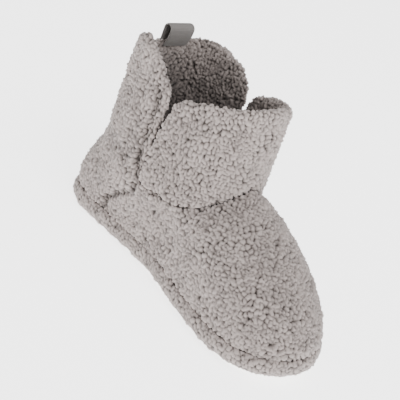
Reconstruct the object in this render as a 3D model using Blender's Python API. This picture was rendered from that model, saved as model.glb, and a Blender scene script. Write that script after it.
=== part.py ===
"""Ankle-high bootie slipper of curly fleece, left foot, standing on its sole.

Toe towards -Y, heel towards +Y, medial side towards -X, floor at Z = 0, metres.
Pieces: outsole, rand, insole, upper (vamp, quarters and back shaft as one hollow shell),
shaft front panel and pull loop.
"""

import math

import bmesh
import bpy
import numpy as np

MM = 0.001

# Outsole
SOLE_LENGTH = 250 * MM
SOLE_BALL_WIDTH = 93.0 * MM
SOLE_THICKNESS = 5.0 * MM
LUG_HEIGHT = 0.8 * MM
BEAD_WIDTH = 1.6 * MM
BEAD_HEIGHT = 0.5 * MM
TOE_SPRING = 7.0 * MM
ARCH_RISE = 1.4 * MM

# Outsole outline from the heel, round the lateral side to the toe, and back along the medial side
OUTLINE = (
    # along the sole, across as a share of the ball width (lateral +)
    (0.000, 0.000),
    (0.040, 0.270),
    (0.113, 0.362),
    (0.261, 0.425),
    (0.408, 0.469),
    (0.555, 0.528),
    (0.666, 0.560),
    (0.778, 0.545),
    (0.866, 0.478),
    (0.950, 0.310),
    (1.000, 0.000),
    (0.963, -0.270),
    (0.886, -0.405),
    (0.812, -0.440),
    (0.738, -0.434),
    (0.587, -0.382),
    (0.435, -0.322),
    (0.300, -0.326),
    (0.170, -0.348),
    (0.100, -0.342),
    (0.038, -0.255),
)

# Tread: raised chevrons in staggered columns, and one bare pad under the front of the heel
CHEVRON_PITCH_ALONG = 18.5 * MM
CHEVRON_PITCH_ACROSS = 19.5 * MM
CHEVRON_ARM = 9.0 * MM
CHEVRON_BAR = 2.8 * MM
CHEVRON_HALF_ANGLE = math.radians(38)
TREAD_MARGIN = 4.0 * MM
PAD_LENGTH = 27 * MM
PAD_WIDTH = 36 * MM
PAD_ALONG = 0.365
PAD_CLEARANCE = 3.0 * MM

# Rand: the fleece-covered band between the outsole and the upper
RAND_OVERHANG = 6.6 * MM
RAND_TOP = 15.7 * MM
RAND_DEPTH = 10.0 * MM
RAND_LIP = 3.0 * MM

# Insole
INSOLE_THICKNESS = 11.0 * MM
INSOLE_EDGE = 3.0 * MM

# Upper
WALL = 6.5 * MM
FEATHER_INSET = 2.4 * MM
SEAM_DEPTH = 2.4 * MM
SEAM_REACH = 6.0 * MM
RIM_DEPTH = 2.4 * MM
RIM_REACH = 4.5 * MM
GAP = 0.3 * MM

# Pull loop
LOOP_WIDTH = 25.5 * MM
LOOP_HEIGHT = 13.5 * MM
LOOP_DEPTH = 9.0 * MM
LOOP_ASIDE = 8.5 * MM
WEBBING = 1.3 * MM

# Shaft
ANKLE_HEIGHT = 72.0 * MM
SHAFT_HEIGHT = 89.8 * MM
SHAFT_HALF_WIDTH = 49.5 * MM
SHAFT_BACK_SET = 12.6 * MM
SHAFT_FRONT_REACH = 0.615
SHAFT_SQUARENESS = 3.4

# Horizontal sections of the shaft
SHAFT = (
    # share of the shaft height, then as shares of the half width: back shift, front shift, width, side shift
    (-0.40, 0.04, 0.00, 0.98, -0.06),
    (0.00, 0.00, 0.00, 1.00, -0.05),
    (0.35, -0.06, -0.09, 0.965, -0.02),
    (0.70, -0.11, -0.135, 0.92, 0.00),
    (1.00, -0.175, -0.185, 0.962, 0.00),
    (1.30, -0.22, -0.21, 0.975, 0.00),
)

# The ring at the ankle where the vamp and the shaft meet
ANKLE_RING = (
    # station (0 back, 0.5 side seam, 1 front), height over the ankle height in shares of it
    (0.00, 0.02),
    (0.50, -0.066),
    (0.66, -0.06),
    (0.80, 0.134),
    (0.91, 0.295),
    (1.00, 0.367),
)

# Meridians of the foot, from the rand up to the ankle ring
MERIDIANS = (
    # station, foot handle, outward lean in degrees, ankle handle, slope down from level in degrees
    (0.00, 0.46, 16.5, 0.36, 90.0),
    (0.25, 0.42, 12.0, 0.34, 90.0),
    (0.50, 0.42, 8.0, 0.34, 86.0),
    (0.62, 0.39, 8.0, 0.41, 62.0),
    (0.80, 0.35, -1.0, 0.83, 24.1),
    (1.00, 0.31, -1.0, 0.71, 28.2),
)

# Side seams of the shaft, as an angle from the back centre, and the share of the outline behind them
SEAM_ANGLE = math.radians(94.2)
SEAM_FOOT_SHARE = 0.235

# Side edges of the shaft panels: sewn together below the notch, apart above it
PANEL_EDGES = (
    # share of the shaft height, back edge and front edge in degrees ahead of the side seam
    (-0.06, 0.0, 0.0),
    (0.06, -1.8, -1.8),
    (0.28, -1.5, -1.5),
    (0.50, -2.6, -0.4),
    (0.66, -2.6, 0.8),
    (0.78, -6.6, 2.0),
    (0.90, -13.0, 3.5),
    (1.00, -21.0, 5.0),
    (1.15, -29.0, 7.0),
)

# Heights of the collar as shares of the shaft height
COLLAR = (
    # panel, levels from the medial corner to the lateral corner, share that a round corner takes, its drop
    ("back", (1.10, 0.95, 0.835, 0.905, 0.93), 0.30, 0.10),
    ("front", (0.765, 0.91, 0.99, 0.91, 0.76), 0.22, 0.09),
)

# Mesh density
BACK_COLUMNS = 26
FRONT_COLUMNS = 30
FOOT_ROWS = 12
SHAFT_ROWS = 11
OUTLINE_COLUMNS = 72

OUTLINE_SAMPLES = 960

FLEECE = (0.43, 0.385, 0.36)
TREAD_RUBBER = (0.55, 0.53, 0.49)
WEBBING_GREY = (0.17, 0.155, 0.145)


def clear_scene():
    for old in list(bpy.data.objects):
        bpy.data.objects.remove(old, do_unlink=True)


def material(name, colour, roughness):
    made = bpy.data.materials.new(name)
    made.use_nodes = True
    shader = made.node_tree.nodes["Principled BSDF"]
    shader.inputs["Base Color"].default_value = (*colour, 1.0)
    shader.inputs["Roughness"].default_value = roughness
    shader.inputs["Metallic"].default_value = 0.0
    return made


def column(table, number):
    return [row[number] for row in table]


def smooth_value(x, keys, values, level_ends=False):
    """Monotone cubic through (keys, values), held beyond the ends, which it may meet level."""
    keys = np.asarray(keys, float)
    values = np.asarray(values, float)
    x = np.clip(x, keys[0], keys[-1])
    steps = np.diff(keys)
    slopes = np.diff(values) / steps
    tangents = np.zeros(len(keys))
    same_way = slopes[:-1] * slopes[1:] > 0
    mean = 2 * slopes[:-1] * slopes[1:] / np.where(same_way, slopes[:-1] + slopes[1:], 1)
    tangents[1:-1] = np.where(same_way, mean, 0)
    if not level_ends:
        tangents[0] = slopes[0]
        tangents[-1] = slopes[-1]
    cell = np.clip(np.searchsorted(keys, x, side="right") - 1, 0, len(steps) - 1)
    t = (x - keys[cell]) / steps[cell]
    return (
        values[cell] * (2 * t**3 - 3 * t**2 + 1)
        + tangents[cell] * steps[cell] * (t**3 - 2 * t**2 + t)
        + values[cell + 1] * (3 * t**2 - 2 * t**3)
        + tangents[cell + 1] * steps[cell] * (t**3 - t**2)
    )


def closed_curve(points, samples):
    """Closed Catmull-Rom curve through the points."""
    count = len(points)
    places = np.arange(samples) * count / samples
    cell = places.astype(int)
    t = (places - cell)[:, None]
    before, start, end, after = (points[(cell + k) % count] for k in (-1, 0, 1, 2))
    return 0.5 * (
        2 * start
        + (end - before) * t
        + (2 * before - 5 * start + 4 * end - after) * t**2
        + (3 * start - before - 3 * end + after) * t**3
    )


def make_outline():
    """Dense outsole outline centred on the origin, with its outward normals."""
    table = np.array(OUTLINE)
    across = table[:, 1] * SOLE_BALL_WIDTH
    along = (0.5 - table[:, 0]) * SOLE_LENGTH
    curve = closed_curve(np.stack([across, along], 1), OUTLINE_SAMPLES)
    curve -= (curve.max(0) + curve.min(0)) / 2
    ahead = np.roll(curve, -1, 0) - np.roll(curve, 1, 0)
    ahead /= np.linalg.norm(ahead, axis=1)[:, None]
    outward = np.stack([-ahead[:, 1], ahead[:, 0]], 1)
    if np.sum(outward * curve) < 0:
        outward = -outward
    return curve, outward


OUTLINE_POINTS, OUTLINE_NORMALS = make_outline()
TOE_SAMPLE = int(np.argmin(OUTLINE_POINTS[:, 1]))


def half_outline(lateral, share, outset):
    """Points of the outline, outset by a distance: share 0 is the heel centre and 1 the toe tip."""
    if lateral:
        order = np.arange(0, TOE_SAMPLE + 1)
    else:
        order = np.arange(OUTLINE_SAMPLES, TOE_SAMPLE - 1, -1) % OUTLINE_SAMPLES
    path = OUTLINE_POINTS[order]
    lengths = np.concatenate([[0], np.cumsum(np.linalg.norm(np.diff(path, axis=0), axis=1))])
    lengths /= lengths[-1]
    place = np.stack([np.interp(share, lengths, path[:, k]) for k in (0, 1)], -1)
    normal = np.stack([np.interp(share, lengths, OUTLINE_NORMALS[order, k]) for k in (0, 1)], -1)
    normal /= np.linalg.norm(normal, axis=-1)[..., None]
    return place + normal * outset


def outline_ring(outset, count=OUTLINE_COLUMNS):
    """Ring of points round the outline: heel centre, lateral side, toe, medial side."""
    share = np.linspace(0, 1, count // 2 + 1)
    lateral = half_outline(True, share, outset)
    medial = half_outline(False, share, outset)
    return np.concatenate([lateral, medial[-2:0:-1]])


def floor_rise(y):
    """Height of the sole's underside over the floor: flat heel, low arch, flat ball, toe spring."""
    along = 0.5 - y / SOLE_LENGTH
    arch = np.sin(np.clip((along - 0.36) / 0.30, 0, 1) * np.pi) ** 2
    spring = np.clip((along - 0.78) / 0.22, 0, 1.2) ** 2
    return ARCH_RISE * arch + TOE_SPRING * spring


def shaft_point(angle, height):
    """Point of the shaft's outer form at an angle from the back centre and a height over the floor."""
    share = (height - ANKLE_HEIGHT) / SHAFT_HEIGHT
    shares = column(SHAFT, 0)
    back = SOLE_LENGTH / 2 + RAND_OVERHANG - SHAFT_BACK_SET
    back = back + smooth_value(share, shares, column(SHAFT, 1)) * SHAFT_HALF_WIDTH
    front = (0.5 - SHAFT_FRONT_REACH) * SOLE_LENGTH
    front = front - smooth_value(share, shares, column(SHAFT, 2)) * SHAFT_HALF_WIDTH
    half_width = smooth_value(share, shares, column(SHAFT, 3)) * SHAFT_HALF_WIDTH
    power = 2 / (2 + (SHAFT_SQUARENESS - 2) * np.clip(share, 0, 1) * np.clip(4 * np.cos(angle), 0, 1))
    shift = smooth_value(share, shares, column(SHAFT, 4)) * SHAFT_HALF_WIDTH
    x = shift + half_width * np.sign(np.sin(angle)) * np.abs(np.sin(angle)) ** power
    y = (back + front) / 2 + (back - front) / 2 * np.sign(np.cos(angle)) * np.abs(np.cos(angle)) ** power
    return np.stack([x, y, height + 0 * x], -1)


def shaft_normal(angle, height):
    """Outward normal of the shaft's outer form."""
    around = shaft_point(angle + 0.01, height) - shaft_point(angle - 0.01, height)
    up = shaft_point(angle, height + MM) - shaft_point(angle, height - MM)
    normal = np.cross(around, up)
    return normal / np.linalg.norm(normal, axis=-1)[..., None]


def station_of(t_back, s_front):
    """Station of a column: 0 at the back centre, 0.5 at the side seam, 1 at the front centre."""
    return np.concatenate([0.5 * np.abs(t_back), 1 - 0.5 * np.abs(1 - 2 * s_front)])


def bunched(count, ends):
    """Even shares from 0 to 1, with one more share close to each end."""
    even = np.linspace(0, 1, count - 1)
    return np.concatenate([[0, ends], even[1:-1], [1 - ends, 1]])


def foot_columns():
    """Columns round the foot: the back panel from medial to lateral seam, then the vamp back round."""
    back = 2 * bunched(BACK_COLUMNS, 0.035) - 1
    front = bunched(FRONT_COLUMNS, 0.018)[1:-1]
    return back, front


def column_angles(back, front):
    """Angle on the ankle ring of each column, from the back centre, lateral +."""
    front_angle = SEAM_ANGLE + front * 2 * (math.pi - SEAM_ANGLE)
    return np.concatenate([back * SEAM_ANGLE, front_angle])


def foot_grid():
    """Outer form of the foot, rand to ankle ring: array of columns by rows by three."""
    back, front = foot_columns()
    station = station_of(back, front)
    angle = column_angles(back, front)
    outset = RAND_OVERHANG - FEATHER_INSET
    feather = []
    for t in back:
        feather.append(half_outline(t > 0, abs(t) * SEAM_FOOT_SHARE, outset))
    for s in front:
        share = 1 - abs(1 - 2 * s) * (1 - SEAM_FOOT_SHARE)
        feather.append(half_outline(s < 0.5, share, outset))
    feather = np.array(feather)
    rise = smooth_value(station, column(ANKLE_RING, 0), column(ANKLE_RING, 1), True)
    height = ANKLE_HEIGHT * (1 + rise)
    foot = np.concatenate([feather, (RAND_TOP + GAP + floor_rise(feather[:, 1]))[:, None]], 1)
    ankle = shaft_point(angle, height)
    drop = height - foot[:, 2]
    stations = column(MERIDIANS, 0)
    foot_handle = smooth_value(station, stations, column(MERIDIANS, 1), True) * drop
    lean = np.radians(smooth_value(station, stations, column(MERIDIANS, 2), True))
    ankle_handle = smooth_value(station, stations, column(MERIDIANS, 3), True) * drop
    slope = np.radians(smooth_value(station, stations, column(MERIDIANS, 4), True))
    away = feather - ankle[:, :2]
    away /= np.linalg.norm(away, axis=1)[:, None]
    below = ankle - shaft_point(angle, height - 0.05 * SHAFT_HEIGHT)
    below = -below / np.linalg.norm(below, axis=1)[:, None]
    sloped = np.concatenate([away * np.cos(slope)[:, None], -np.sin(slope)[:, None]], 1)
    blend = np.clip((station - 0.42) / 0.16, 0, 1)[:, None]
    down = below * (1 - blend) + sloped * blend
    down /= np.linalg.norm(down, axis=1)[:, None]
    up = np.concatenate([away * np.sin(lean)[:, None], np.cos(lean)[:, None]], 1)
    near_foot = foot + up * foot_handle[:, None]
    near_ankle = ankle + down * ankle_handle[:, None]
    rows = bunched(FOOT_ROWS, 0.05)[None, :, None]
    foot, near_foot, near_ankle, ankle = (p[:, None, :] for p in (foot, near_foot, near_ankle, ankle))
    return (
        foot * (1 - rows) ** 3
        + 3 * near_foot * rows * (1 - rows) ** 2
        + 3 * near_ankle * rows**2 * (1 - rows)
        + ankle * rows**3
    )


def collar_height(panel, t):
    """Height of the panel's top edge over the floor, at t from -1 medial to 1 lateral."""
    _, levels, corner, drop = next(row for row in COLLAR if row[0] == panel)
    level = smooth_value(t, np.linspace(-1, 1, len(levels)), levels)
    into = np.clip((np.abs(t) - 1 + corner) / corner, 0, 1)
    round_drop = drop * (1 - np.sqrt(1 - 0.98 * into**2))
    return ANKLE_HEIGHT + SHAFT_HEIGHT * (level - round_drop)


def panel_edge(panel, height):
    """Angle of the panel's side edge from the back centre, at a height."""
    share = (height - ANKLE_HEIGHT) / SHAFT_HEIGHT
    ahead = column(PANEL_EDGES, 1 if panel == "back" else 2)
    return SEAM_ANGLE + np.radians(smooth_value(share, column(PANEL_EDGES, 0), ahead))


def panel_grid(panel, ankle_row):
    """Outer form of a shaft panel, from the ankle ring up: columns by rows by three."""
    back, front = foot_columns()
    if panel == "back":
        t = back
    else:
        t = np.concatenate([[1.0], 1 - 2 * front, [-1.0]])
    rows = bunched(SHAFT_ROWS, 0.045)
    bottom = ankle_row[:, 2]
    top = collar_height(panel, t)
    height = bottom[:, None] + (top - bottom)[:, None] * rows[None, :]
    edge = panel_edge(panel, height)
    if panel == "back":
        angle = t[:, None] * edge
    else:
        angle = math.pi - t[:, None] * (math.pi - edge)
    return shaft_point(angle, height), shaft_normal(angle, height)


def quads_of(index, closed=False):
    """Quads of a grid of vertex numbers, columns by rows."""
    faces = []
    columns, rows = index.shape
    for i in range(columns if closed else columns - 1):
        j = (i + 1) % columns
        for k in range(rows - 1):
            faces.append((index[i, k], index[j, k], index[j, k + 1], index[i, k + 1]))
    return faces


def normals_of(points, faces):
    """Area-weighted vertex normals."""
    normals = np.zeros_like(points)
    for face in faces:
        a, b, c, d = (points[i] for i in face)
        weight = np.cross(c - a, d - b)
        for i in face:
            normals[i] += weight
    return normals / np.linalg.norm(normals, axis=1)[:, None]


def near_edge(distance, depth, reach):
    """How far the skin dips towards a seam or a rim, as a quarter round."""
    share = np.clip(1 - distance / reach, 0, 1)
    return depth * (1 - np.sqrt(1 - share**2))


def lengths_along(grid, axis):
    """Distance of each grid point from the grid's first column (axis 0) or row (axis 1)."""
    step = np.linalg.norm(np.diff(grid, axis=axis), axis=2)
    total = np.cumsum(step, axis=axis)
    pad = [(1, 0), (0, 0)] if axis == 0 else [(0, 0), (1, 0)]
    return np.pad(total, pad)


def reverse(array, axis):
    return np.flip(array, axis=axis)


def upper_form():
    """The whole outer form of foot and shaft with its normals, as three grids of vertex numbers."""
    foot = foot_grid()
    back_count = len(foot_columns()[0])
    columns, rows, _ = foot.shape
    front_order = np.concatenate([np.arange(back_count - 1, columns), [0]])
    back, back_normals = panel_grid("back", foot[:back_count, -1])
    front, front_normals = panel_grid("front", foot[front_order, -1])
    foot_index = np.arange(columns * rows).reshape(columns, rows)
    points = [foot.reshape(-1, 3)]
    start = columns * rows

    def panel_index(grid, ankle, start):
        index = np.empty(grid.shape[:2], int)
        index[:, 0] = ankle
        index[:, 1:] = start + np.arange(index[:, 1:].size).reshape(index[:, 1:].shape)
        points.append(grid[:, 1:].reshape(-1, 3))
        return index, start + index[:, 1:].size

    back_index, start = panel_index(back, foot_index[:back_count, -1], start)
    front_index, start = panel_index(front, foot_index[front_order, -1], start)
    points = np.concatenate(points)
    faces = quads_of(foot_index, True) + quads_of(back_index) + quads_of(front_index)
    normals = normals_of(points, faces)
    if np.mean(normals[:, 0] * points[:, 0]) < 0:
        normals = -normals
    for index, exact in ((back_index, back_normals), (front_index, front_normals)):
        facing = np.sign(np.sum(exact * normals[index], axis=2))[..., None]
        for edge in (0, -1):
            normals[index[edge, 1:]] = (exact * facing)[edge, 1:]
    return points, normals, foot_index, back_index, front_index


def thicken(name, outer, inner, faces, finish):
    """Closed shell between two skins: the side walls stand on every open edge."""
    used = {}
    for face in faces:
        for a, b in zip(face, face[1:] + face[:1]):
            used[(a, b)] = used.get((a, b), 0) + 1
    corners = sorted({i for face in faces for i in face})
    number = {old: new for new, old in enumerate(corners)}
    count = len(corners)
    made = [tuple(number[i] for i in face) for face in faces]
    made += [tuple(number[i] + count for i in reversed(face)) for face in faces]
    # Each side wall is cut along the same diagonal in both of the pieces that meet there
    for a, b in used:
        if (b, a) not in used:
            start, end = number[a], number[b]
            if a < b:
                made += [(end, start, end + count), (start, start + count, end + count)]
            else:
                made += [(end, start, start + count), (end, start + count, end + count)]
    points = np.concatenate([outer[corners], inner[corners]])
    return mesh_object(name, points, made, finish)


def mesh_object(name, points, faces, finish, smooth_angle=50):
    mesh = bpy.data.meshes.new(name)
    mesh.from_pydata([tuple(p) for p in points], [], [tuple(int(i) for i in f) for f in faces])
    mesh.validate()
    working = bmesh.new()
    working.from_mesh(mesh)
    bmesh.ops.recalc_face_normals(working, faces=working.faces)
    working.to_mesh(mesh)
    working.free()
    mesh.shade_smooth()
    mesh.set_sharp_from_angle(angle=math.radians(smooth_angle))
    mesh.materials.append(finish)
    made = bpy.data.objects.new(name, mesh)
    bpy.context.scene.collection.objects.link(made)
    return made


def make_upper_and_front(finish):
    points, normals, foot, back, front = upper_form()
    place = points[foot]
    back_count = back.shape[0]
    dip = np.zeros(len(points))
    inner_dip = np.zeros(len(points))

    def deepen(index, amount, target=dip):
        target[index] = np.maximum(target[index], amount)

    # Seam from the ankle down to the rand, on each side: the last column of the back panel
    around = lengths_along(place, 0)
    for seam in (0, back_count - 1):
        ring = np.abs(around - around[seam])
        whole = around[-1] + np.linalg.norm(place[0] - place[-1], axis=1)
        ring = np.minimum(ring, whole - ring)
        deepen(foot, near_edge(ring, SEAM_DEPTH, SEAM_REACH))
    # Seam between the rand and the upper
    deepen(foot, near_edge(lengths_along(place, 1), SEAM_DEPTH, SEAM_REACH))
    # Ankle seam of the vamp
    vamp = np.concatenate([np.arange(back_count - 1, foot.shape[0]), [0]])
    from_top = reverse(lengths_along(reverse(place, 1), 1), 1)
    deepen(foot[vamp], near_edge(from_top, SEAM_DEPTH, SEAM_REACH)[vamp])
    for panel in (back, front):
        grid = points[panel]
        from_rim = reverse(lengths_along(reverse(grid, 1), 1), 1)
        side = np.minimum(lengths_along(grid, 0), reverse(lengths_along(reverse(grid, 0), 0), 0))
        rim = near_edge(from_rim, RIM_DEPTH, RIM_REACH)
        deepen(panel, rim)
        deepen(panel, rim, inner_dip)
        deepen(panel, near_edge(side, SEAM_DEPTH, SEAM_REACH))
    deepen(front, near_edge(lengths_along(points[front], 1), SEAM_DEPTH, SEAM_REACH))

    outer = points - normals * dip[:, None]
    inner = points - normals * (WALL - inner_dip)[:, None]
    level = normals * (1, 1, 0)
    level /= np.linalg.norm(level, axis=1)[:, None]
    feather = foot[:, 0]
    inner[feather] = points[feather] - level[feather] * WALL
    outer[feather] = points[feather] - level[feather] * SEAM_DEPTH
    for skin in (outer, inner):
        skin[feather, 2] = RAND_TOP + GAP + floor_rise(skin[feather, 1])

    faces = quads_of(foot, True) + quads_of(back)
    thicken("upper", outer, inner, faces, finish)

    # The front panel stands a sewing gap clear of the upper at its foot and at its sides
    panels = [outer[front], inner[front]]
    clear = np.zeros_like(panels[0])
    lines = (
        (np.s_[:, 0], np.s_[:, 1]),
        (np.s_[0, :], np.s_[1, :]),
        (np.s_[-1, :], np.s_[-2, :]),
    )
    for edge, inside in lines:
        along = np.gradient(panels[0][edge] + panels[1][edge], axis=0)
        away = np.cross(along, panels[0][edge] - panels[1][edge])
        away /= np.linalg.norm(away, axis=1)[:, None]
        away *= np.sign(np.sum(away * (panels[0][inside] - panels[0][edge]), axis=1))[:, None]
        clear[edge] += away * GAP
    outer[front] += clear
    inner[front] += clear
    thicken("shaft_front", outer, inner, quads_of(front), finish)
    return outer[back[:, -1]], inner[back[:, -1]]


def ladder_faces(ring):
    """Faces that fill a ring from side to side, so that the plate can bend along its length."""
    count = len(ring)
    half = count // 2
    faces = [(ring[0], ring[1], ring[count - 1])]
    for i in range(1, half - 1):
        faces.append((ring[i], ring[i + 1], ring[count - i - 1], ring[count - i]))
    faces.append((ring[half - 1], ring[half], ring[half + 1]))
    return faces


def stacked_plate(name, rings, finish):
    """Solid from rings of equal count, each (outset, height), filled at the first and last."""
    points = []
    for outset, height in rings:
        ring = outline_ring(outset)
        points += [(x, y, height) for x, y in ring]
    points = np.array(points)
    index = np.arange(len(points)).reshape(len(rings), -1).T
    faces = quads_of(index, True)
    faces += ladder_faces(list(index[:, 0])) + ladder_faces(list(index[:, -1]))
    return mesh_object(name, points, faces, finish)


def bend_to_sole(obj):
    """Moves a flat-modelled piece up with the sole's arch and toe spring."""
    for vertex in obj.data.vertices:
        vertex.co.z += float(floor_rise(np.array(vertex.co.y)))


def chevron_shape(x, y):
    """Corners of a chevron whose point looks to the toe."""
    reach = CHEVRON_ARM
    lean = CHEVRON_HALF_ANGLE
    back = CHEVRON_BAR / math.sin(lean)
    side = reach * math.sin(lean)
    drop = reach * math.cos(lean)
    tip = -drop / 2
    return [
        (x, y + tip),
        (x + side, y + tip + drop),
        (x + side, y + tip + drop + back * 0.75),
        (x, y + tip + back),
        (x - side, y + tip + drop + back * 0.75),
        (x - side, y + tip + drop),
    ]


def inside_outline(x, y, margin):
    """Whether a point lies inside the outsole's outline by at least a margin."""
    offset = OUTLINE_POINTS - (x, y)
    nearest = int(np.argmin(np.sum(offset**2, axis=1)))
    return float(offset[nearest] @ OUTLINE_NORMALS[nearest]) > margin


def pad_centre():
    middle = (0.5 - PAD_ALONG) * SOLE_LENGTH
    level = [half_outline(lateral, np.array(PAD_ALONG), 0.0)[0] for lateral in (True, False)]
    return sum(level) / 2, middle


def tread_shapes():
    """Plan shapes of the tread: the chevrons that fit, and the pad."""
    pad_x, pad_y = pad_centre()
    shapes = []
    columns = int(SOLE_LENGTH / CHEVRON_PITCH_ALONG / 2) + 1
    rows = int(SOLE_BALL_WIDTH / CHEVRON_PITCH_ACROSS / 2) + 2
    for i in range(-columns, columns + 1):
        for j in range(-rows, rows + 1):
            x = (j + 0.5 * (i % 2)) * CHEVRON_PITCH_ACROSS
            y = i * CHEVRON_PITCH_ALONG
            shape = chevron_shape(x, y)
            clear = all(inside_outline(px, py, BEAD_WIDTH + TREAD_MARGIN) for px, py in shape)
            reach_x = PAD_WIDTH / 2 + PAD_CLEARANCE
            reach_y = PAD_LENGTH / 2 + PAD_CLEARANCE
            on_pad = any(abs(px - pad_x) < reach_x and abs(py - pad_y) < reach_y for px, py in shape)
            if clear and not on_pad:
                shapes.append(shape)
    half_x = PAD_WIDTH / 2
    half_y = PAD_LENGTH / 2
    pad = [(pad_x + sx * half_x, pad_y + sy * half_y) for sx, sy in ((-1, -1), (1, -1), (1, 1), (-1, 1))]
    return shapes + [pad]


def make_outsole(finish):
    bead = LUG_HEIGHT - BEAD_HEIGHT
    rings = (
        (-BEAD_WIDTH - BEAD_HEIGHT, LUG_HEIGHT),
        (-BEAD_WIDTH, bead),
        (-BEAD_HEIGHT, bead),
        (0.0, LUG_HEIGHT + BEAD_HEIGHT),
        (0.0, SOLE_THICKNESS),
    )
    plate = stacked_plate("outsole", rings, finish)
    points = []
    faces = []
    for shape in tread_shapes():
        start = len(points)
        count = len(shape)
        points += [(x, y, 0.0) for x, y in shape]
        points += [(x, y, 2.5 * LUG_HEIGHT) for x, y in shape]
        faces.append(tuple(range(start, start + count)))
        faces.append(tuple(range(start + 2 * count - 1, start + count - 1, -1)))
        for i in range(count):
            j = (i + 1) % count
            faces.append((start + i, start + i + count, start + j + count, start + j))
    lugs = mesh_object("lugs", points, faces, finish)
    lugs.hide_render = True
    lugs.display_type = "WIRE"
    union = plate.modifiers.new("tread", "BOOLEAN")
    union.operation = "UNION"
    union.object = lugs
    bpy.context.view_layer.update()
    evaluated = plate.evaluated_get(bpy.context.evaluated_depsgraph_get())
    joined = bpy.data.meshes.new_from_object(evaluated)
    plate.modifiers.clear()
    plate.data = joined
    bpy.data.objects.remove(lugs, do_unlink=True)
    bend_to_sole(plate)
    plate.data.shade_smooth()
    plate.data.set_sharp_from_angle(angle=math.radians(30))
    return plate


def make_rand(finish):
    """Ring with a padded outer face and a rabbet that sits on the outsole's edge."""
    seat = SOLE_THICKNESS + GAP
    beside = GAP
    face = RAND_TOP - RAND_LIP
    section = (
        (beside, RAND_LIP + 0.2 * MM),
        (0.45 * RAND_OVERHANG, RAND_LIP - 0.3 * MM),
        (0.80 * RAND_OVERHANG, RAND_LIP + 0.10 * face),
        (0.97 * RAND_OVERHANG, RAND_LIP + 0.30 * face),
        (RAND_OVERHANG, RAND_LIP + 0.52 * face),
        (0.92 * RAND_OVERHANG, RAND_LIP + 0.76 * face),
        (0.70 * RAND_OVERHANG, RAND_LIP + 0.92 * face),
        (RAND_OVERHANG - FEATHER_INSET - SEAM_DEPTH, RAND_TOP),
        (RAND_OVERHANG - RAND_DEPTH, RAND_TOP),
        (RAND_OVERHANG - RAND_DEPTH, seat),
        (beside, seat),
    )
    rings = [outline_ring(outset) for outset, _ in section]
    points = []
    for ring, (_, height) in zip(rings, section):
        points += [(x, y, height) for x, y in ring]
    index = np.arange(len(points)).reshape(len(section), -1).T
    looped = np.concatenate([index, index[:, :1]], axis=1)
    rand = mesh_object("rand", np.array(points), quads_of(looped, True), finish)
    bend_to_sole(rand)
    return rand


def make_insole(finish):
    bottom = SOLE_THICKNESS + GAP
    top = bottom + INSOLE_THICKNESS
    edge = RAND_OVERHANG - RAND_DEPTH - GAP
    rings = (
        (edge, bottom),
        (edge, top - INSOLE_EDGE),
        (edge - 0.3 * INSOLE_EDGE, top - 0.3 * INSOLE_EDGE),
        (edge - INSOLE_EDGE, top),
    )
    insole = stacked_plate("insole", rings, finish)
    bend_to_sole(insole)
    return insole


def make_pull_loop(rim, finish):
    """Webbing loop that stands on the back of the collar's rim and leans to the inside."""
    outer_rim, inner_rim = rim
    back = np.abs(outer_rim[:, 0]) < LOOP_WIDTH
    middle = (outer_rim[back] + inner_rim[back]) / 2
    middle = middle[np.argsort(middle[:, 0])]
    across = LOOP_ASIDE + LOOP_WIDTH * np.linspace(-0.5, 0.5, 9)
    seat_z = np.max(np.interp(across, middle[:, 0], middle[:, 2])) + GAP
    seat_y = np.mean(np.interp(across, middle[:, 0], middle[:, 1]))
    foot = WEBBING + GAP
    outline = []
    steps = 9
    radius = LOOP_DEPTH / 2
    straight = LOOP_HEIGHT - radius
    for i in range(3):
        outline.append((foot, straight * i / 3))
    for i in range(steps):
        turn = math.pi * i / (steps - 1)
        outline.append((foot - radius + radius * math.cos(turn), straight + radius * math.sin(turn)))
    for i in (2, 1, 0):
        spread = foot + (radius - foot) * math.sin(i / 3 * math.pi / 2)
        outline.append((foot - 2 * spread, straight * i / 3))
    outer = np.array(outline)
    ahead = np.gradient(outer, axis=0)
    ahead /= np.linalg.norm(ahead, axis=1)[:, None]
    inner = outer + np.stack([-ahead[:, 1], ahead[:, 0]], 1) * WEBBING
    inner[0] = (outer[0][0] - WEBBING, outer[0][1])
    inner[-1] = (outer[-1][0] + WEBBING, outer[-1][1])
    section = np.concatenate([outer, inner[::-1]])
    sides = []
    for x in (-LOOP_WIDTH / 2, LOOP_WIDTH / 2):
        sides += [(LOOP_ASIDE + x, seat_y + y, seat_z + z) for y, z in section]
    count = len(section)
    half = len(outer)
    faces = []
    for i in range(count):
        j = (i + 1) % count
        faces.append((i, j, j + count, i + count))
    for i in range(half - 1):
        strip = (i, i + 1, count - 2 - i, count - 1 - i)
        faces.append(strip)
        faces.append(tuple(k + count for k in reversed(strip)))
    return mesh_object("pull_loop", np.array(sides), faces, finish)


def main():
    clear_scene()
    fleece = material("curly_fleece", FLEECE, 0.95)
    rubber = material("light_rubber", TREAD_RUBBER, 0.6)
    webbing = material("grey_webbing", WEBBING_GREY, 0.8)
    make_outsole(rubber)
    make_rand(fleece)
    make_insole(fleece)
    rim = make_upper_and_front(fleece)
    make_pull_loop(rim, webbing)


main()
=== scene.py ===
"""Looks of the fleece bootie slipper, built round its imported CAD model.

Metres, toe towards -Y, heel towards +Y, medial side towards -X, floor at Z = 0.
"""

import math

import bmesh
import bpy
import numpy as np
from mathutils import Matrix, Vector
from mathutils.bvhtree import BVHTree
from mathutils.kdtree import KDTree


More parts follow.
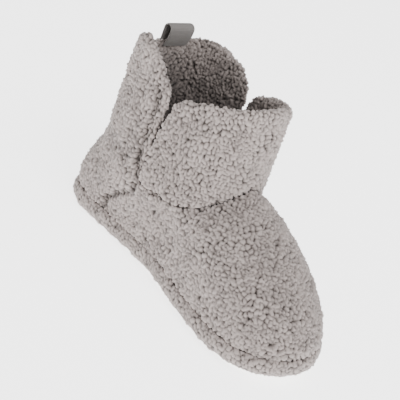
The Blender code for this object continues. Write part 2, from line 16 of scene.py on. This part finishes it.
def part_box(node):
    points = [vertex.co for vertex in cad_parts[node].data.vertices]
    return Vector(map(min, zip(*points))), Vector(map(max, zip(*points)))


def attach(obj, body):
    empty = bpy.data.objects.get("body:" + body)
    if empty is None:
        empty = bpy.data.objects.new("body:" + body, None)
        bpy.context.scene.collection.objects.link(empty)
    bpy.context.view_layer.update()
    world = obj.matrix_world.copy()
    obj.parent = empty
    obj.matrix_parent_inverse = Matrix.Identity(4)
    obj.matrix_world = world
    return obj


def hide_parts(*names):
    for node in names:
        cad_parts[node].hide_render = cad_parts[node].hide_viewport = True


MM = 0.001

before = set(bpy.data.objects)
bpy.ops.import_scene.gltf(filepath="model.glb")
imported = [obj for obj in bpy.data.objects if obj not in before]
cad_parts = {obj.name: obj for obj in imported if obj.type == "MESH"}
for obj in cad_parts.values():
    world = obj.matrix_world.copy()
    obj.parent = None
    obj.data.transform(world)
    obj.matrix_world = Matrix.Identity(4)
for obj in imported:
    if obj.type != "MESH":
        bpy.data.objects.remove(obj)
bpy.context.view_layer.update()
rng = np.random.default_rng(20)

# Camera: direction from the shoe in degrees, its roll, distance and focal length in units of the frame
AZIMUTH = -54.99
ELEVATION = 29.44
ROLL = 23.30
DISTANCE = 670 * MM
LOOK_AT = (0.0, 0.0, 60 * MM)
FOCAL_SHARE = 1.688
AXIS_X = 0.76326
AXIS_Y = 0.55121
ZOOM = 1.30
SHOE_X = 0.7335
SHOE_Y = 0.530

# Fleece: sizes of the remesh cells, and the most triangles of a piece
PILE_CELL = 0.9 * MM
INSOLE_CELL = 1.3 * MM
MOST_TRIANGLES = 190000

# Curls: spacing, half length and radius, the depth of the gaps between them and the gaps' half width
CURL_SPACING = 3.15 * MM
CURL_REACH = 1.9 * MM
CURL_RADIUS = 2.65 * MM
CURL_HEIGHT = 3.0 * MM
CURL_GAP = 0.6 * MM

# Shares of a curl's height that its dome and the ridge between two curls give, its spread from curl to
# curl and that of fine locks, and the share of the height at which the plain solid lies
DOME_SHARE = 0.8
RIDGE_SHARE = 0.55
CURL_LIFT = 0.18
LOCK_LIFT = 0.12
PILE_LEVEL = 0.72

# Fleece sewn flat: the height of its curls on the rand and on the insole
RAND_PILE = 1.5 * MM
INSOLE_PILE = 0.8 * MM

# How far the pile closes the seams between two pieces, and how far the curls grow into each other
SEAM_FILL = 1.7 * MM
SEAM_NEAR = 4.5 * MM
MESH_INTO = 0.7 * MM

# Space between the pile and the rubber that it would grow into
SOLE_GAP = 0.1 * MM

# Webbing loop: how far its legs are tucked into the pile of the rim and of the lining, and how far
# its front leg leans
LOOP_BACK_TUCK = 1.6 * MM
LOOP_FRONT_TUCK = 5.0 * MM
LOOP_LEAN = 3.4 * MM

# Painted shade in the creases: the pile's colour darkened there, in shares of the pile's height for each
# metre of depth
CREASE_PAINTED_SHADE = 160

# Soft creases in millimetres: their lines, depth and half width
CREASES = (
    (((-42, 74, 20), (-42, 73, 28), (-45, 64, 38), (-48, 53, 48), (-51, 44, 57), (-52, 40, 67)), 2.5, 2.6),
    (((36, 75, 20), (37, 73, 28), (39, 65, 38), (43, 54, 48), (45, 44, 57), (47, 40, 67)), 2.4, 2.6),
    (((-52, 41, 68), (-52, 46, 78), (-50, 50, 92), (-48, 52, 108), (-46, 53, 124), (-46, 57, 136)),
     2.4, 2.8),
    (((47, 41, 68), (47, 46, 78), (47, 50, 92), (47, 51, 108), (46, 52, 124)), 2.2, 2.8),
    (((-52, 60, 74), (-50, 72, 78), (-43, 90, 76), (-30, 104, 74)), 0.9, 5.0),
    (((47, 60, 74), (45, 74, 77), (38, 92, 76), (27, 104, 74)), 0.9, 5.0),
)


def scene_link(obj):
    bpy.context.scene.collection.objects.link(obj)
    return obj


def evaluated_mesh(obj):
    bpy.context.view_layer.update()
    graph = bpy.context.evaluated_depsgraph_get()
    return bpy.data.meshes.new_from_object(obj.evaluated_get(graph))


def bake_modifiers(obj):
    mesh = evaluated_mesh(obj)
    obj.modifiers.clear()
    obj.data = mesh


def cad_copy(node, name):
    """A welded copy of a CAD node's mesh, with its flat triangles joined to quads."""
    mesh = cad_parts[node].data.copy()
    mesh.materials.clear()
    work = bmesh.new()
    work.from_mesh(mesh)
    bmesh.ops.remove_doubles(work, verts=work.verts, dist=0.02 * MM)
    bmesh.ops.join_triangles(
        work,
        faces=work.faces,
        angle_face_threshold=math.radians(25),
        angle_shape_threshold=math.radians(50),
    )
    work.to_mesh(mesh)
    work.free()
    return scene_link(bpy.data.objects.new(name, mesh))


def remeshed(obj, cell, smooth=8):
    """Rounds the plain solid and gives it even cells, small enough for the curls."""
    round_off = obj.modifiers.new("round", "SUBSURF")
    round_off.levels = round_off.render_levels = 2
    grid = obj.modifiers.new("cells", "REMESH")
    grid.mode = "VOXEL"
    grid.voxel_size = cell
    grid.use_smooth_shade = True
    relax = obj.modifiers.new("relax", "SMOOTH")
    relax.factor = 0.5
    relax.iterations = smooth
    bake_modifiers(obj)


def vertices_of(mesh):
    flat = np.empty(len(mesh.vertices) * 3, np.float64)
    mesh.vertices.foreach_get("co", flat)
    return flat.reshape(-1, 3)


def normals_of(mesh):
    flat = np.empty(len(mesh.vertices) * 3, np.float32)
    mesh.vertex_normals.foreach_get("vector", flat)
    return flat.reshape(-1, 3).astype(float)


def slow_noise(points, size, seed):
    """Smooth values near -1 to 1 that change over about the given size."""
    made = np.random.default_rng(seed)
    value = np.zeros(len(points))
    for _ in range(6):
        way = made.normal(size=3)
        way *= (0.7 + 0.6 * made.random()) / (np.linalg.norm(way) * size)
        value += np.sin(2 * math.pi * (points @ way) + made.random() * 2 * math.pi)
    return value / 2.4


def curl_seeds(points, spacing):
    """Numbers of points that lie at least a spacing apart, taken in random order."""
    order = rng.permutation(len(points))
    tree = KDTree(len(points))
    for i, p in enumerate(points):
        tree.insert(p, i)
    tree.balance()
    free = np.ones(len(points), bool)
    chosen = []
    for i in order:
        if free[i]:
            chosen.append(i)
            for _, near, _ in tree.find_range(points[i], spacing[i]):
                free[near] = False
    return np.array(chosen)


def curl_tree(points, normals, seeds):
    """Short bent curls lying on the surface, as a tree of points with the number of their curl."""
    count = len(seeds)
    base, up = points[seeds], normals[seeds]
    way = rng.normal(size=(count, 3))
    way -= up * np.sum(way * up, axis=1)[:, None]
    way /= np.linalg.norm(way, axis=1)[:, None]
    side = np.cross(up, way)
    bend = rng.uniform(-0.9, 0.9, count)[:, None]
    reach = CURL_REACH * rng.uniform(0.2, 1.3, count)[:, None]
    tree = KDTree(count * 3)
    for step in (-1, 0, 1):
        place = base + way * reach * step + side * reach * bend * (abs(step) - 0.5)
        for i, p in enumerate(place):
            tree.insert(p, i)
    tree.balance()
    return tree


def curl_heights(points, tree, count):
    """Height of the pile over its gaps, from 0 to about 1, at each point."""
    lift = rng.uniform(-CURL_LIFT, CURL_LIFT, count)
    height = np.empty(len(points))
    for n, p in enumerate(points):
        found = tree.find_n(p, 5)
        first = found[0]
        other = first[2] + 2 * CURL_RADIUS
        for candidate in found[1:]:
            if candidate[1] != first[1]:
                other = candidate[2]
                break
        dome = 1 - min(1.0, first[2] / CURL_RADIUS) ** 2
        ridge = 1 - math.exp(-(other - first[2]) / CURL_GAP)
        raised = 1 - DOME_SHARE + lift[first[1]] + DOME_SHARE * dome
        height[n] = raised * (1 - RIDGE_SHARE + RIDGE_SHARE * ridge)
    return np.clip(height, 0, 1.2)


def solid_tree(node):
    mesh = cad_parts[node].data
    mesh.calc_loop_triangles()
    return BVHTree.FromPolygons(
        [v.co[:] for v in mesh.vertices], [t.vertices[:] for t in mesh.loop_triangles]
    )


def beside(points, normals, others):
    """Room before each point meets the CAD solids beside it, and how far the pile fills the seam."""
    room = np.full(len(points), 1.0)
    fill = np.zeros(len(points))
    for node in others:
        tree = solid_tree(node)
        low, high = (np.array(c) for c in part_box(node))
        close = np.all((points > low - 5 * MM) & (points < high + 5 * MM), axis=1)
        for i in np.nonzero(close)[0]:
            spot, _, _, distance = tree.find_nearest(Vector(points[i]), SEAM_NEAR)
            if spot is None or distance < 1e-6:
                continue
            facing = (np.array(spot) - points[i]) @ normals[i] / distance
            if facing > 0.35:
                room[i] = min(room[i], 0.5 * distance + MESH_INTO)
            if facing < 0.9:
                fill[i] = max(fill[i], SEAM_FILL * (1 - distance / SEAM_NEAR))
    return room, fill


def lay_on(points, node):
    """Moves the points that have grown into a hard CAD solid back onto its face."""
    tree = solid_tree(node)
    low, high = (np.array(c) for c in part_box(node))
    for i in np.nonzero(np.all((points > low) & (points < high), axis=1))[0]:
        spot, face, _, distance = tree.find_nearest(Vector(points[i]), SEAM_NEAR)
        if spot is not None and (Vector(points[i]) - spot).dot(face) < 0:
            points[i] = spot + face * SOLE_GAP


def crease_depth(points):
    """Depth of the soft creases at each point; their lines are laid onto the CAD solid first."""
    depth = np.zeros(len(points))
    tree = solid_tree("upper")
    for line, deep, wide in CREASES:
        line = np.array(line) * MM
        share = np.linspace(0, len(line) - 1, 4 * len(line))
        line = np.stack([np.interp(share, np.arange(len(line)), line[:, k]) for k in range(3)], 1)
        line = np.array([tree.find_nearest(Vector(p))[0] for p in line])
        line = line[np.append(True, np.linalg.norm(np.diff(line, axis=0), axis=1) > 0.1 * MM)]
        near = np.full(len(points), 1.0)
        for a, b in zip(line[:-1], line[1:]):
            along = np.clip((points - a) @ (b - a) / ((b - a) @ (b - a)), 0, 1)
            near = np.minimum(near, np.linalg.norm(points - a - along[:, None] * (b - a), axis=1))
        near -= 0.6 * MM * slow_noise(points, 9 * MM, 31)
        depth = np.maximum(depth, deep * MM * np.exp(-((np.maximum(near, 0) / (wide * MM)) ** 2)))
    return depth


def inside_shade(points, normals):
    """Painted shade on the lining: 0 on the outside, rising to 1 deep inside the shoe, less so behind the
    front panel.
    """
    middle = np.stack([0 * points[:, 0], np.clip(points[:, 1], -60 * MM, 55 * MM)], 1)
    inward = np.sum((middle - points[:, :2]) * normals[:, :2], axis=1)
    deep = np.clip((148 * MM - points[:, 2]) / (60 * MM), 0, 1)
    deep *= np.clip((points[:, 1] + 10 * MM) / (40 * MM), 0.1, 1)
    return np.where(inward > 0, deep, 0) * np.clip(inward / (12 * MM), 0, 1)


def fleece(name, node, cell, others, depth=CURL_HEIGHT):
    """A curly fleece piece in the place of a plain CAD solid."""
    obj = cad_copy(node, name)
    remeshed(obj, cell)
    mesh = obj.data
    points, normals = vertices_of(mesh), normals_of(mesh)
    wide = CURL_SPACING * (1 + 0.06 * slow_noise(points, 30 * MM, 5) + 0.08 * slow_noise(points, 6 * MM, 6))
    seeds = curl_seeds(points, wide)
    tree = curl_tree(points, normals, seeds)
    pile = curl_heights(points, tree, len(seeds))
    strength = 1 + 0.12 * slow_noise(points, 24 * MM, 9)
    pile += LOCK_LIFT * slow_noise(points, 2.2 * MM, 13)
    room, fill = beside(points, normals, others)
    # Painted shade deep inside the shoe, carried to the material by the shade attribute
    shade = inside_shade(points, normals)
    out = depth * strength * (pile - PILE_LEVEL) + fill
    out += 0.4 * MM * slow_noise(points, 13 * MM, 11)
    crease = crease_depth(points) * (shade == 0)
    out -= crease
    out = np.minimum(out, room)
    points += normals * out[:, None]
    if "outsole" in others:
        lay_on(points, "outsole")
    mesh.vertices.foreach_set("co", points.ravel())
    # The pile attribute sets the colour: painted shade in the gaps between the curls, and painted shade in
    # the creases where it is lowered by their depth
    for title, value in (("pile", np.clip(pile - CREASE_PAINTED_SHADE * crease, 0, 1)), ("shade", shade)):
        layer = mesh.attributes.new(title, "FLOAT", "POINT")
        layer.data.foreach_set("value", value.astype(np.float32))
    mesh.update()
    if len(mesh.vertices) * 2 > MOST_TRIANGLES:
        thin = obj.modifiers.new("thin", "DECIMATE")
        thin.ratio = MOST_TRIANGLES / (len(mesh.vertices) * 2)
        bake_modifiers(obj)
    return obj


def webbing_loop(name, node):
    """Ribbed tape bent into a loop, in the place of the plain one."""
    low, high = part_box(node)
    thick, ribs, pitch = 1.2 * MM, 0.13 * MM, 1.15 * MM
    radius = (high.y - low.y) / 2
    straight = high.z - low.z - radius
    top = [(radius * math.cos(t), straight + radius * math.sin(t)) for t in np.linspace(0, math.pi, 25)]
    rise = np.linspace(0, 1, 12)[:-1]
    path = [(radius, straight * u - LOOP_BACK_TUCK * (1 - u)) for u in rise] + top
    foot_y = -radius + LOOP_LEAN
    for u in rise[::-1]:
        path.append((-radius + (foot_y + radius) * (1 - u) ** 2, straight * u - LOOP_FRONT_TUCK * (1 - u)))
    path = np.array(path)
    path[:, 0] += (low.y + high.y) / 2
    path[:, 1] += low.z
    length = np.concatenate([[0], np.cumsum(np.linalg.norm(np.diff(path, axis=0), axis=1))])
    steps = np.linspace(0, length[-1], 190)
    path = np.stack([np.interp(steps, length, path[:, k]) for k in (0, 1)], 1)
    ahead = np.gradient(path, axis=0)
    ahead /= np.linalg.norm(ahead, axis=1)[:, None]
    normal = np.stack([ahead[:, 1], -ahead[:, 0]], 1)
    path -= normal * thick / 2
    half = (high.x - low.x) / 2
    across = half * np.sin(np.linspace(-1, 1, 15) * math.pi / 2)
    wave = ribs * np.cos(2 * math.pi * steps / pitch)
    edge = np.clip((half - np.abs(across)) / (0.9 * MM), 0, 1) ** 0.5
    grids = []
    for side in (1, -1):
        off = side * (thick / 2 * (0.35 + 0.65 * edge)[:, None] + wave[None, :] * (edge > 0.8)[:, None])
        place = path[None, :, :] + normal[None, :, :] * off[..., None]
        x = np.broadcast_to((across + (low.x + high.x) / 2)[:, None, None], place.shape[:2] + (1,))
        grids.append(np.concatenate([x, place], 2))
    points = np.concatenate([g.reshape(-1, 3) for g in grids])
    rows, columns = grids[0].shape[:2]
    index = np.arange(rows * columns).reshape(rows, columns)
    back = index + rows * columns
    faces = []
    for i in range(rows - 1):
        for j in range(columns - 1):
            faces.append((index[i, j], index[i, j + 1], index[i + 1, j + 1], index[i + 1, j]))
            faces.append((back[i, j], back[i + 1, j], back[i + 1, j + 1], back[i, j + 1]))
    for j in range(columns - 1):
        faces.append((index[0, j], back[0, j], back[0, j + 1], index[0, j + 1]))
        faces.append((index[-1, j], index[-1, j + 1], back[-1, j + 1], back[-1, j]))
    for i in range(rows - 1):
        faces.append((index[i, 0], index[i + 1, 0], back[i + 1, 0], back[i, 0]))
        faces.append((index[i, -1], back[i, -1], back[i + 1, -1], index[i + 1, -1]))
    mesh = bpy.data.meshes.new(name)
    mesh.from_pydata([tuple(p) for p in points], [], [tuple(int(v) for v in f) for f in faces])
    work = bmesh.new()
    work.from_mesh(mesh)
    bmesh.ops.recalc_face_normals(work, faces=work.faces)
    work.to_mesh(mesh)
    work.free()
    mesh.shade_smooth()
    return scene_link(bpy.data.objects.new(name, mesh))


def nodes_of(material):
    material.use_nodes = True
    tree = material.node_tree
    return tree, tree.nodes["Principled BSDF"]


def fleece_material(name, gap_painted_shade_colour, tip_colour):
    material = bpy.data.materials.new(name)
    tree, shader = nodes_of(material)
    add, link = tree.nodes.new, tree.links.new
    where = add("ShaderNodeTexCoord")
    pile = add("ShaderNodeAttribute")
    pile.attribute_name = "pile"
    # Painted shade: the colour runs from a very dark colour low in the pile, between the curls, to the
    # light tip colour
    ramp = add("ShaderNodeValToRGB")
    ramp.color_ramp.elements[0].position = 0.20
    ramp.color_ramp.elements[0].color = (*gap_painted_shade_colour, 1)
    ramp.color_ramp.elements[1].position = 0.85
    ramp.color_ramp.elements[1].color = (*tip_colour, 1)
    link(pile.outputs["Fac"], ramp.inputs["Fac"])

    broad = add("ShaderNodeTexNoise")
    broad.inputs["Scale"].default_value = 38
    broad.inputs["Detail"].default_value = 2
    link(where.outputs["Object"], broad.inputs["Vector"])
    fine = add("ShaderNodeTexNoise")
    fine.inputs["Scale"].default_value = 1400
    fine.inputs["Detail"].default_value = 3
    fine.inputs["Roughness"].default_value = 0.65
    link(where.outputs["Object"], fine.inputs["Vector"])

    spread = add("ShaderNodeMapRange")
    spread.inputs["From Min"].default_value = 0.3
    spread.inputs["From Max"].default_value = 0.7
    spread.inputs["To Min"].default_value = 0.90
    spread.inputs["To Max"].default_value = 1.08
    link(broad.outputs["Fac"], spread.inputs["Value"])
    grain = add("ShaderNodeMapRange")
    grain.inputs["From Min"].default_value = 0.3
    grain.inputs["From Max"].default_value = 0.7
    grain.inputs["To Min"].default_value = 0.84
    grain.inputs["To Max"].default_value = 1.12
    link(fine.outputs["Fac"], grain.inputs["Value"])
    # Painted shade: the lining's colour darkened down to a quarter deep inside the shoe
    shade = add("ShaderNodeAttribute")
    shade.attribute_name = "shade"
    deep = add("ShaderNodeMapRange")
    deep.inputs["To Min"].default_value = 1.0
    deep.inputs["To Max"].default_value = 0.25
    link(shade.outputs["Fac"], deep.inputs["Value"])
    both = add("ShaderNodeMath")
    both.operation = "MULTIPLY"
    link(spread.outputs["Result"], both.inputs[0])
    link(grain.outputs["Result"], both.inputs[1])
    tone_and_painted_shade = add("ShaderNodeMath")
    tone_and_painted_shade.operation = "MULTIPLY"
    link(both.outputs["Value"], tone_and_painted_shade.inputs[0])
    link(deep.outputs["Result"], tone_and_painted_shade.inputs[1])
    tinted = add("ShaderNodeVectorMath")
    tinted.operation = "SCALE"
    link(ramp.outputs["Color"], tinted.inputs[0])
    link(tone_and_painted_shade.outputs["Value"], tinted.inputs["Scale"])
    link(tinted.outputs["Vector"], shader.inputs["Base Color"])

    bump = add("ShaderNodeBump")
    bump.inputs["Strength"].default_value = 0.55
    bump.inputs["Distance"].default_value = 0.35 * MM
    link(fine.outputs["Fac"], bump.inputs["Height"])
    link(bump.outputs["Normal"], shader.inputs["Normal"])
    shader.inputs["Roughness"].default_value = 0.95
    shader.inputs["Specular IOR Level"].default_value = 0.15
    shader.inputs["Sheen Weight"].default_value = 0.25
    shader.inputs["Sheen Roughness"].default_value = 0.5
    return material


def rubber_material(name, colour):
    material = bpy.data.materials.new(name)
    tree, shader = nodes_of(material)
    add, link = tree.nodes.new, tree.links.new
    where = add("ShaderNodeTexCoord")
    grain = add("ShaderNodeTexNoise")
    grain.inputs["Scale"].default_value = 900
    grain.inputs["Detail"].default_value = 4
    link(where.outputs["Object"], grain.inputs["Vector"])
    broad = add("ShaderNodeTexNoise")
    broad.inputs["Scale"].default_value = 45
    broad.inputs["Detail"].default_value = 3
    link(where.outputs["Object"], broad.inputs["Vector"])
    ramp = add("ShaderNodeValToRGB")
    ramp.color_ramp.elements[0].position = 0.3
    ramp.color_ramp.elements[0].color = (*(c * 0.90 for c in colour), 1)
    ramp.color_ramp.elements[1].position = 0.7
    ramp.color_ramp.elements[1].color = (*(c * 1.05 for c in colour), 1)
    link(broad.outputs["Fac"], ramp.inputs["Fac"])
    link(ramp.outputs["Color"], shader.inputs["Base Color"])
    bump = add("ShaderNodeBump")
    bump.inputs["Strength"].default_value = 0.35
    bump.inputs["Distance"].default_value = 0.12 * MM
    link(grain.outputs["Fac"], bump.inputs["Height"])
    link(bump.outputs["Normal"], shader.inputs["Normal"])
    rough = add("ShaderNodeMapRange")
    rough.inputs["To Min"].default_value = 0.48
    rough.inputs["To Max"].default_value = 0.66
    link(grain.outputs["Fac"], rough.inputs["Value"])
    link(rough.outputs["Result"], shader.inputs["Roughness"])
    return material


def webbing_material(name, colour):
    material = bpy.data.materials.new(name)
    tree, shader = nodes_of(material)
    add, link = tree.nodes.new, tree.links.new
    where = add("ShaderNodeTexCoord")
    yarn = add("ShaderNodeTexWave")
    yarn.bands_direction = "X"
    yarn.inputs["Scale"].default_value = 260
    yarn.inputs["Distortion"].default_value = 1.0
    yarn.inputs["Detail"].default_value = 2
    yarn.inputs["Detail Scale"].default_value = 2
    link(where.outputs["Object"], yarn.inputs["Vector"])
    noise = add("ShaderNodeTexNoise")
    noise.inputs["Scale"].default_value = 1100
    noise.inputs["Detail"].default_value = 3
    link(where.outputs["Object"], noise.inputs["Vector"])
    ramp = add("ShaderNodeValToRGB")
    ramp.color_ramp.elements[0].position = 0.25
    ramp.color_ramp.elements[0].color = (*(c * 0.8 for c in colour), 1)
    ramp.color_ramp.elements[1].position = 0.75
    ramp.color_ramp.elements[1].color = (*(c * 1.2 for c in colour), 1)
    mix = add("ShaderNodeMath")
    mix.operation = "MULTIPLY_ADD"
    mix.inputs[1].default_value = 0.5
    link(yarn.outputs["Fac"], mix.inputs[0])
    half = add("ShaderNodeMath")
    half.operation = "MULTIPLY"
    half.inputs[1].default_value = 0.5
    link(noise.outputs["Fac"], half.inputs[0])
    link(half.outputs["Value"], mix.inputs[2])
    link(mix.outputs["Value"], ramp.inputs["Fac"])
    link(ramp.outputs["Color"], shader.inputs["Base Color"])
    bump = add("ShaderNodeBump")
    bump.inputs["Strength"].default_value = 0.5
    bump.inputs["Distance"].default_value = 0.15 * MM
    link(mix.outputs["Value"], bump.inputs["Height"])
    link(bump.outputs["Normal"], shader.inputs["Normal"])
    shader.inputs["Roughness"].default_value = 0.7
    shader.inputs["Sheen Weight"].default_value = 0.2
    return material


def area_light(name, place, target, size, power, colour=(1, 1, 1)):
    lamp = bpy.data.lights.new(name, "AREA")
    lamp.shape = "SQUARE"
    lamp.size = size
    lamp.energy = power
    lamp.color = colour
    obj = scene_link(bpy.data.objects.new(name, lamp))
    obj.location = place
    obj.rotation_euler = (Vector(target) - Vector(place)).to_track_quat("-Z", "Y").to_euler()
    return obj


def make_camera():
    azimuth, elevation, roll = (math.radians(v) for v in (AZIMUTH, ELEVATION, ROLL))
    back = Vector((math.sin(azimuth) * math.cos(elevation), -math.cos(azimuth) * math.cos(elevation),
                   math.sin(elevation)))
    right = Vector((math.cos(azimuth), math.sin(azimuth), 0))
    up = back.cross(right)
    across = right * math.cos(roll) + up * math.sin(roll)
    upward = -right * math.sin(roll) + up * math.cos(roll)
    data = bpy.data.cameras.new("camera")
    data.sensor_fit = "HORIZONTAL"
    data.sensor_width = 36
    data.lens = 36 * FOCAL_SHARE * ZOOM
    data.shift_x = -(AXIS_X - SHOE_X) * ZOOM
    data.shift_y = (AXIS_Y - SHOE_Y) * ZOOM
    data.clip_start = 0.02
    data.clip_end = 60
    camera = scene_link(bpy.data.objects.new("camera", data))
    turn = Matrix((across, upward, back)).transposed()
    camera.matrix_world = Matrix.Translation(Vector(LOOK_AT) + back * DISTANCE) @ turn.to_4x4()
    bpy.context.scene.camera = camera


def make_studio():
    mesh = bpy.data.meshes.new("floor")
    half = 8.0
    corners = [(-half, -half, 0), (half, -half, 0), (half, half, 0), (-half, half, 0)]
    mesh.from_pydata(corners, [], [(0, 1, 2, 3)])
    floor = scene_link(bpy.data.objects.new("floor", mesh))
    material = bpy.data.materials.new("floor_white")
    tree, shader = nodes_of(material)
    noise = tree.nodes.new("ShaderNodeTexNoise")
    noise.inputs["Scale"].default_value = 3
    ramp = tree.nodes.new("ShaderNodeValToRGB")
    ramp.color_ramp.elements[0].color = (0.92, 0.92, 0.92, 1)
    ramp.color_ramp.elements[1].color = (0.94, 0.94, 0.94, 1)
    tree.links.new(noise.outputs["Fac"], ramp.inputs["Fac"])
    tree.links.new(ramp.outputs["Color"], shader.inputs["Base Color"])
    shader.inputs["Roughness"].default_value = 0.9
    shader.inputs["Specular IOR Level"].default_value = 0.1
    shader.inputs["Emission Color"].default_value = (1, 1, 1, 1)
    shader.inputs["Emission Strength"].default_value = 2.8
    mesh.materials.append(material)
    world = bpy.data.worlds.new("studio")
    bpy.context.scene.world = world
    world.use_nodes = True
    world.node_tree.nodes["Background"].inputs["Color"].default_value = (1, 1, 1, 1)
    world.node_tree.nodes["Background"].inputs["Strength"].default_value = 0.85
    area_light("key", (-0.35, -1.2, 1.6), (0, 0, 0.05), 1.0, 28)
    area_light("fill", (0.9, -1.0, 0.9), (0, 0, 0.08), 1.4, 3)


make_camera()
make_studio()

# The first colour is painted shade in the gaps between the curls, the second the fleece's tips
skin = fleece_material("fleece", (0.048, 0.040, 0.036), (0.372, 0.320, 0.299))

upper = fleece("upper_fleece", "upper", PILE_CELL, ("shaft_front", "rand", "insole", "pull_loop"))
front = fleece("shaft_front_fleece", "shaft_front", PILE_CELL, ("upper",))
rand = fleece("rand_fleece", "rand", PILE_CELL, ("upper", "insole", "outsole"), depth=RAND_PILE)
insole = fleece("insole_fleece", "insole", INSOLE_CELL, ("upper", "rand", "outsole"), depth=INSOLE_PILE)
for piece, node in ((upper, "upper"), (front, "shaft_front"), (rand, "rand"), (insole, "insole")):
    piece.data.materials.clear()
    piece.data.materials.append(skin)
    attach(piece, "root")
    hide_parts(node)

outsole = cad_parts["outsole"]
outsole.data.materials.clear()
outsole.data.materials.append(rubber_material("rubber", (0.52, 0.50, 0.46)))

loop = webbing_loop("webbing_loop", "pull_loop")
loop.data.materials.append(webbing_material("webbing", (0.155, 0.143, 0.135)))
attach(loop, "root")
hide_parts("pull_loop")
